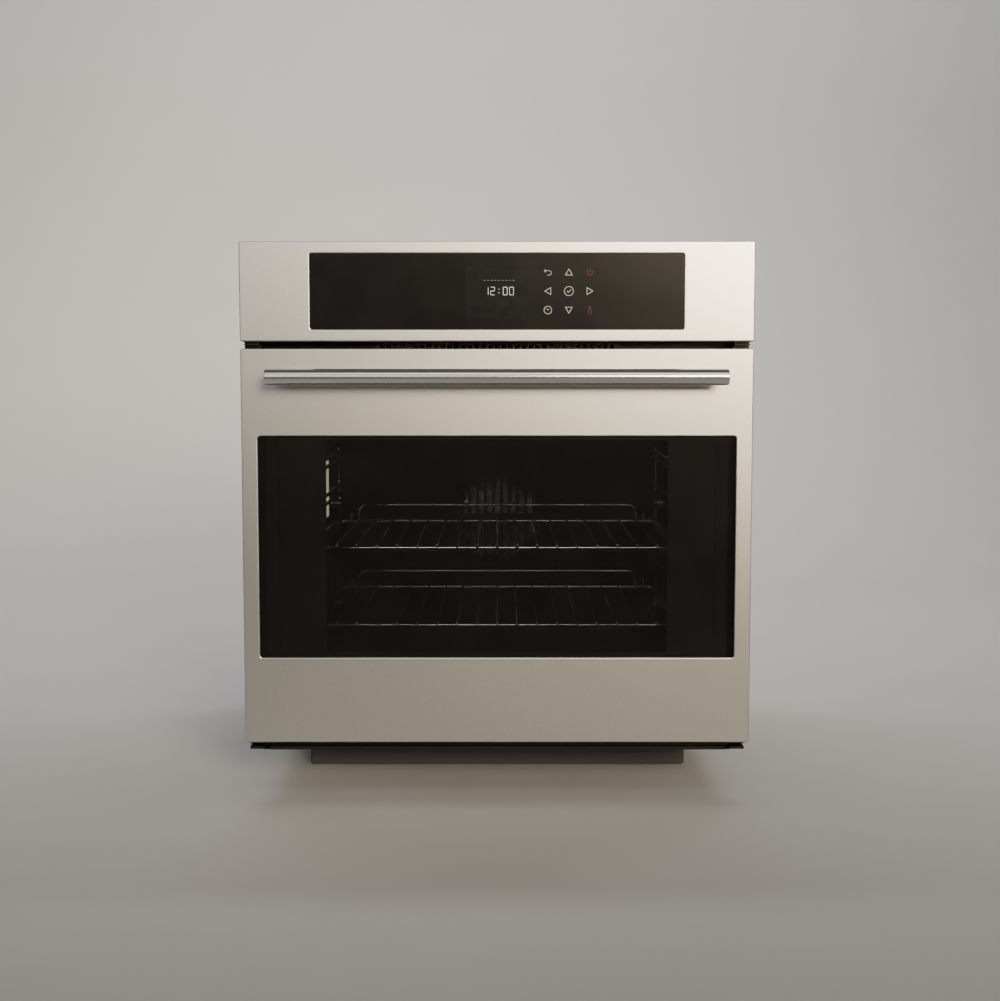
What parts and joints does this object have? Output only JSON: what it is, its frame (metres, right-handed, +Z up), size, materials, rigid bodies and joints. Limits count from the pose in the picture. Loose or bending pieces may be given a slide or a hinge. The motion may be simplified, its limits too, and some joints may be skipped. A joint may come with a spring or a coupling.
{
  "type": "wall_oven",
  "caption": "Built-in single wall oven with a steel front, touch panel, drop-down glass door on hinge arms, sliding wire shelves, hot-air fan and cooling blower",
  "frame": {"origin": "middle of the bottom of the oven's bounding box, on the plane that it rests on", "axes": "+Z up, the front with the door faces -Y, +X to the right as seen from the front"},
  "size_m": [0.595, 0.6225, 0.595],
  "materials": {
    "steel_front": "satin stainless steel with a fine grain",
    "polished_steel": "polished stainless steel",
    "galvanised": "galvanised sheet, matt",
    "black_enamel": "black powder coat, satin",
    "cavity_enamel": "dark vitreous enamel, glossy with fine speckles",
    "chromed_wire": "bright plated wire",
    "black_glass": "polished black glass",
    "smoked_glass": "tinted front pane",
    "clear_glass": "clear inner pane",
    "lamp_glass": "frosted lamp lens",
    "gasket": "woven fibre over a tube, matt",
    "wool": "mineral wool",
    "element": "dark oxidised heater tube",
    "motor_steel": "bare laminated steel",
    "black_plastic": "fine grained moulded plastic",
    "white_plastic": "moulded thermoset",
    "board": "solder resist over glass fibre",
    "display": "dark liquid crystal screen",
    "aluminium": "mill finish",
    "zinc": "zinc plated"
  },
  "bodies": {
    "oven": {"base_panel": "galvanised", "base_rails": "galvanised", "side_panel_left": "galvanised", "side_panel_right": "galvanised", "back_panel": "galvanised", "top_cover": "galvanised", "cooling_deck": "galvanised", "front_frame": "black_enamel", "bottom_trim": "black_enamel", "air_outlet_grille": "black_plastic", "door_gasket": "gasket", "cavity_wrapper": "cavity_enamel", "cavity_back": "cavity_enamel", "insulation": "wool", "side_rack_left": "chromed_wire", "side_rack_right": "chromed_wire", "side_rack_studs": "zinc", "rear_fan_cover": "cavity_enamel", "ring_heater": "element", "grill_element": "element", "bottom_element": "element", "temperature_probe": "chromed_wire", "lamp_housing": "galvanised", "lamp_glass": "lamp_glass", "lamp_bulb": "lamp_glass", "convection_motor": "motor_steel", "air_duct": "galvanised", "blower_housing": "galvanised", "blower_motor": "motor_steel", "main_board": "board", "terminal_block": "white_plastic", "cable_gland": "black_plastic", "panel_screws": "black_enamel", "control_fascia": "steel_front", "control_glass": "black_glass", "control_housing": "black_plastic", "display_module": "display", "control_board": "board", "panel_end_brackets": "black_enamel", "hinge_receivers": "galvanised", "hinge_arms": "zinc"},
    "door": {"door_skin": "steel_front", "door_front_glass": "smoked_glass", "door_mid_glass": "clear_glass", "door_inner_glass": "clear_glass", "glass_spacers": "gasket", "door_side_profiles": "black_enamel", "door_top_trim": "black_enamel", "door_bottom_profile": "black_enamel", "handle_bar": "polished_steel", "handle_posts": "polished_steel", "handle_screws": "zinc", "hinge_channels": "galvanised", "hinge_pins": "zinc"},
    "upper_shelf": {"upper_shelf_grid": "chromed_wire", "upper_shelf_stop": "chromed_wire"},
    "lower_shelf": {"lower_shelf_grid": "chromed_wire", "lower_shelf_stop": "chromed_wire"},
    "convection_fan": {"convection_fan": "aluminium"},
    "blower_wheel": {"blower_wheel": "black_plastic"}
  },
  "joints": [
    {"name": "door_hinge", "type": "hinge", "parent": "oven", "child": "door", "pos_m": [0, -0.24675, 0.02], "axis": [1, 0, 0], "range_deg": [0, 90], "stiffness_Nm_per_rad": 9, "springref_deg": -17.19},
    {"name": "upper_shelf_slide", "type": "slide", "parent": "oven", "child": "upper_shelf", "axis": [0, -1, 0], "range_m": [0, 0.315]},
    {"name": "lower_shelf_slide", "type": "slide", "parent": "oven", "child": "lower_shelf", "axis": [0, -1, 0], "range_m": [0, 0.236]},
    {"name": "convection_fan_spin", "type": "hinge", "parent": "oven", "child": "convection_fan", "pos_m": [0, 0.23325, 0.232], "axis": [0, 1, 0], "continuous": true},
    {"name": "blower_wheel_spin", "type": "hinge", "parent": "oven", "child": "blower_wheel", "pos_m": [0, 0.07825, 0.475], "axis": [0, 0, 1], "continuous": true}
  ],
  "couplings": [
    {"joint": "upper_shelf_slide", "follows": "door_hinge", "m_per_rad": 0.2},
    {"joint": "lower_shelf_slide", "follows": "door_hinge", "m_per_rad": 0.15}
  ]
}
